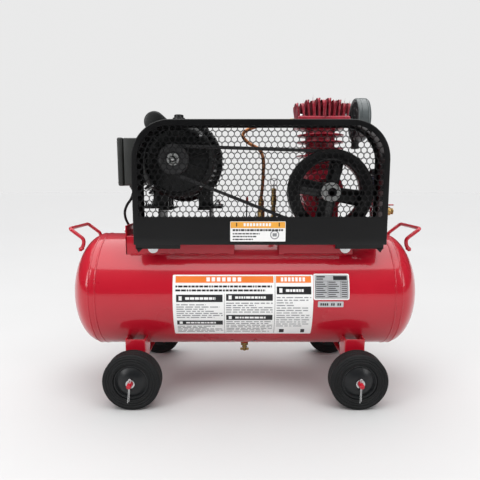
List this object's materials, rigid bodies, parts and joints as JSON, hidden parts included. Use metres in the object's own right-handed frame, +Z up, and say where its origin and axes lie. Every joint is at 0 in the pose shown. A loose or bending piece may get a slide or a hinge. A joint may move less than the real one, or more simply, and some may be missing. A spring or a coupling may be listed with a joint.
{
  "type": "air compressor",
  "caption": "Belt-driven piston air compressor on a wheeled horizontal tank, with motor, pump, belt guard, pipework and lifting handles.",
  "frame": {"origin": "on the ground under the middle of the tank", "axes": "+X along the tank towards the pump end, +Z up; the belt guard faces -Y"},
  "size_m": [0.9134, 0.428, 0.776],
  "materials": {
    "tank_red": "glossy red enamel",
    "pump_red": "satin dark red paint on castings",
    "black_paint": "satin black",
    "tyre_rubber": "matte solid rubber",
    "belt_rubber": "matte rubber",
    "black_plastic": "satin moulded plastic",
    "grey_paint": "satin dark grey",
    "steel": "machined",
    "iron": "dark cast",
    "alloy": "cast alloy",
    "brass": "turned brass",
    "copper": "dull copper",
    "red_plastic": "red moulded grip"
  },
  "bodies": {
    "frame": {"tank_barrel": "tank_red", "tank_head_left": "tank_red", "tank_head_right": "tank_red", "handle_left": "tank_red", "handle_right": "tank_red", "leg_front_left": "tank_red", "leg_rear_left": "tank_red", "leg_front_right": "tank_red", "leg_rear_right": "tank_red", "axle_left": "tank_red", "axle_right": "tank_red", "motor_base": "tank_red", "pump_base": "tank_red", "motor_riser_left": "grey_paint", "motor_riser_right": "grey_paint", "motor_housing": "black_paint", "motor_front_shield": "black_paint", "motor_rear_shield": "black_paint", "motor_fan_cowl": "black_paint", "stator_core": "iron", "capacitor_cover": "black_paint", "switch_box": "grey_paint", "crankcase": "pump_red", "crankcase_cover": "pump_red", "crank_bearing": "steel", "piston": "alloy", "cylinder": "pump_red", "cylinder_head": "pump_red", "air_filter": "grey_paint", "drive_belt": "belt_rubber", "guard_frame": "black_paint", "guard_mesh": "black_paint", "discharge_pipe": "copper", "check_valve": "brass", "safety_valve": "brass", "pressure_switch": "black_plastic", "air_riser": "steel", "regulator": "grey_paint", "outlet_cock": "brass", "drain_cock": "brass", "motor_lead": "belt_rubber"},
    "wheel_front_left": {"tyre_front_left": "tyre_rubber", "hub_front_left": "black_plastic"},
    "wheel_rear_left": {"tyre_rear_left": "tyre_rubber", "hub_rear_left": "black_plastic"},
    "wheel_front_right": {"tyre_front_right": "tyre_rubber", "hub_front_right": "black_plastic"},
    "wheel_rear_right": {"tyre_rear_right": "tyre_rubber", "hub_rear_right": "black_plastic"},
    "crank": {"crankshaft": "steel", "flywheel": "black_paint"},
    "rod": {"connecting_rod": "alloy"},
    "motor_shaft": {"motor_rotor": "iron", "motor_fan": "black_plastic", "motor_pulley": "iron"},
    "pressure_lever": {"switch_lever": "black_plastic"},
    "outlet_lever": {"cock_lever": "red_plastic"},
    "drain_handle": {"drain_wing": "brass"},
    "pressure_knob": {"regulator_knob": "black_plastic"},
    "relief_ring": {"safety_ring": "steel"}
  },
  "joints": [
    {"name": "front_left_wheel_spin", "type": "hinge", "parent": "frame", "child": "wheel_front_left", "pos_m": [-0.2745, -0.174, 0.07], "axis": [0, 1, 0], "continuous": true},
    {"name": "rear_left_wheel_spin", "type": "hinge", "parent": "frame", "child": "wheel_rear_left", "pos_m": [-0.2745, 0.174, 0.07], "axis": [0, 1, 0], "continuous": true},
    {"name": "front_right_wheel_spin", "type": "hinge", "parent": "frame", "child": "wheel_front_right", "pos_m": [0.2745, -0.174, 0.07], "axis": [0, 1, 0], "continuous": true},
    {"name": "rear_right_wheel_spin", "type": "hinge", "parent": "frame", "child": "wheel_rear_right", "pos_m": [0.2745, 0.174, 0.07], "axis": [0, 1, 0], "continuous": true},
    {"name": "crank_spin", "type": "hinge", "parent": "frame", "child": "crank", "pos_m": [0.21, -0.095, 0.523], "axis": [0, 1, 0], "continuous": true},
    {"name": "motor_spin", "type": "hinge", "parent": "frame", "child": "motor_shaft", "pos_m": [-0.176, -0.095, 0.603], "axis": [0, 1, 0], "continuous": true},
    {"name": "big_end_turn", "type": "hinge", "parent": "crank", "child": "rod", "pos_m": [0.21, 0.05, 0.54], "axis": [0, 1, 0], "continuous": true},
    {"name": "pressure_lever_tilt", "type": "hinge", "parent": "frame", "child": "pressure_lever", "pos_m": [0.006, 0.085, 0.4365], "axis": [0, 1, 0], "range_deg": [-22, 18]},
    {"name": "outlet_lever_turn", "type": "hinge", "parent": "frame", "child": "outlet_lever", "pos_m": [0.379, -0.015, 0.4858], "axis": [0, 0, 1], "range_deg": [0, 90]},
    {"name": "drain_handle_turn", "type": "hinge", "parent": "frame", "child": "drain_handle", "pos_m": [0, 0, 0.0837], "axis": [0, 0, 1], "range_deg": [0, 360]},
    {"name": "pressure_knob_turn", "type": "hinge", "parent": "frame", "child": "pressure_knob", "pos_m": [0.348, -0.015, 0.5663], "axis": [0, 0, 1], "range_deg": [-360, 360]},
    {"name": "relief_ring_pull", "type": "slide", "parent": "frame", "child": "relief_ring", "axis": [0, 0, 1], "range_m": [0, 0.004], "stiffness_N_per_m": 500}
  ],
  "couplings": [
    {"joint": "motor_spin", "follows": "crank_spin", "ratio": 3.0646},
    {"joint": "big_end_turn", "follows": "crank_spin", "ratio": -1}
  ]
}
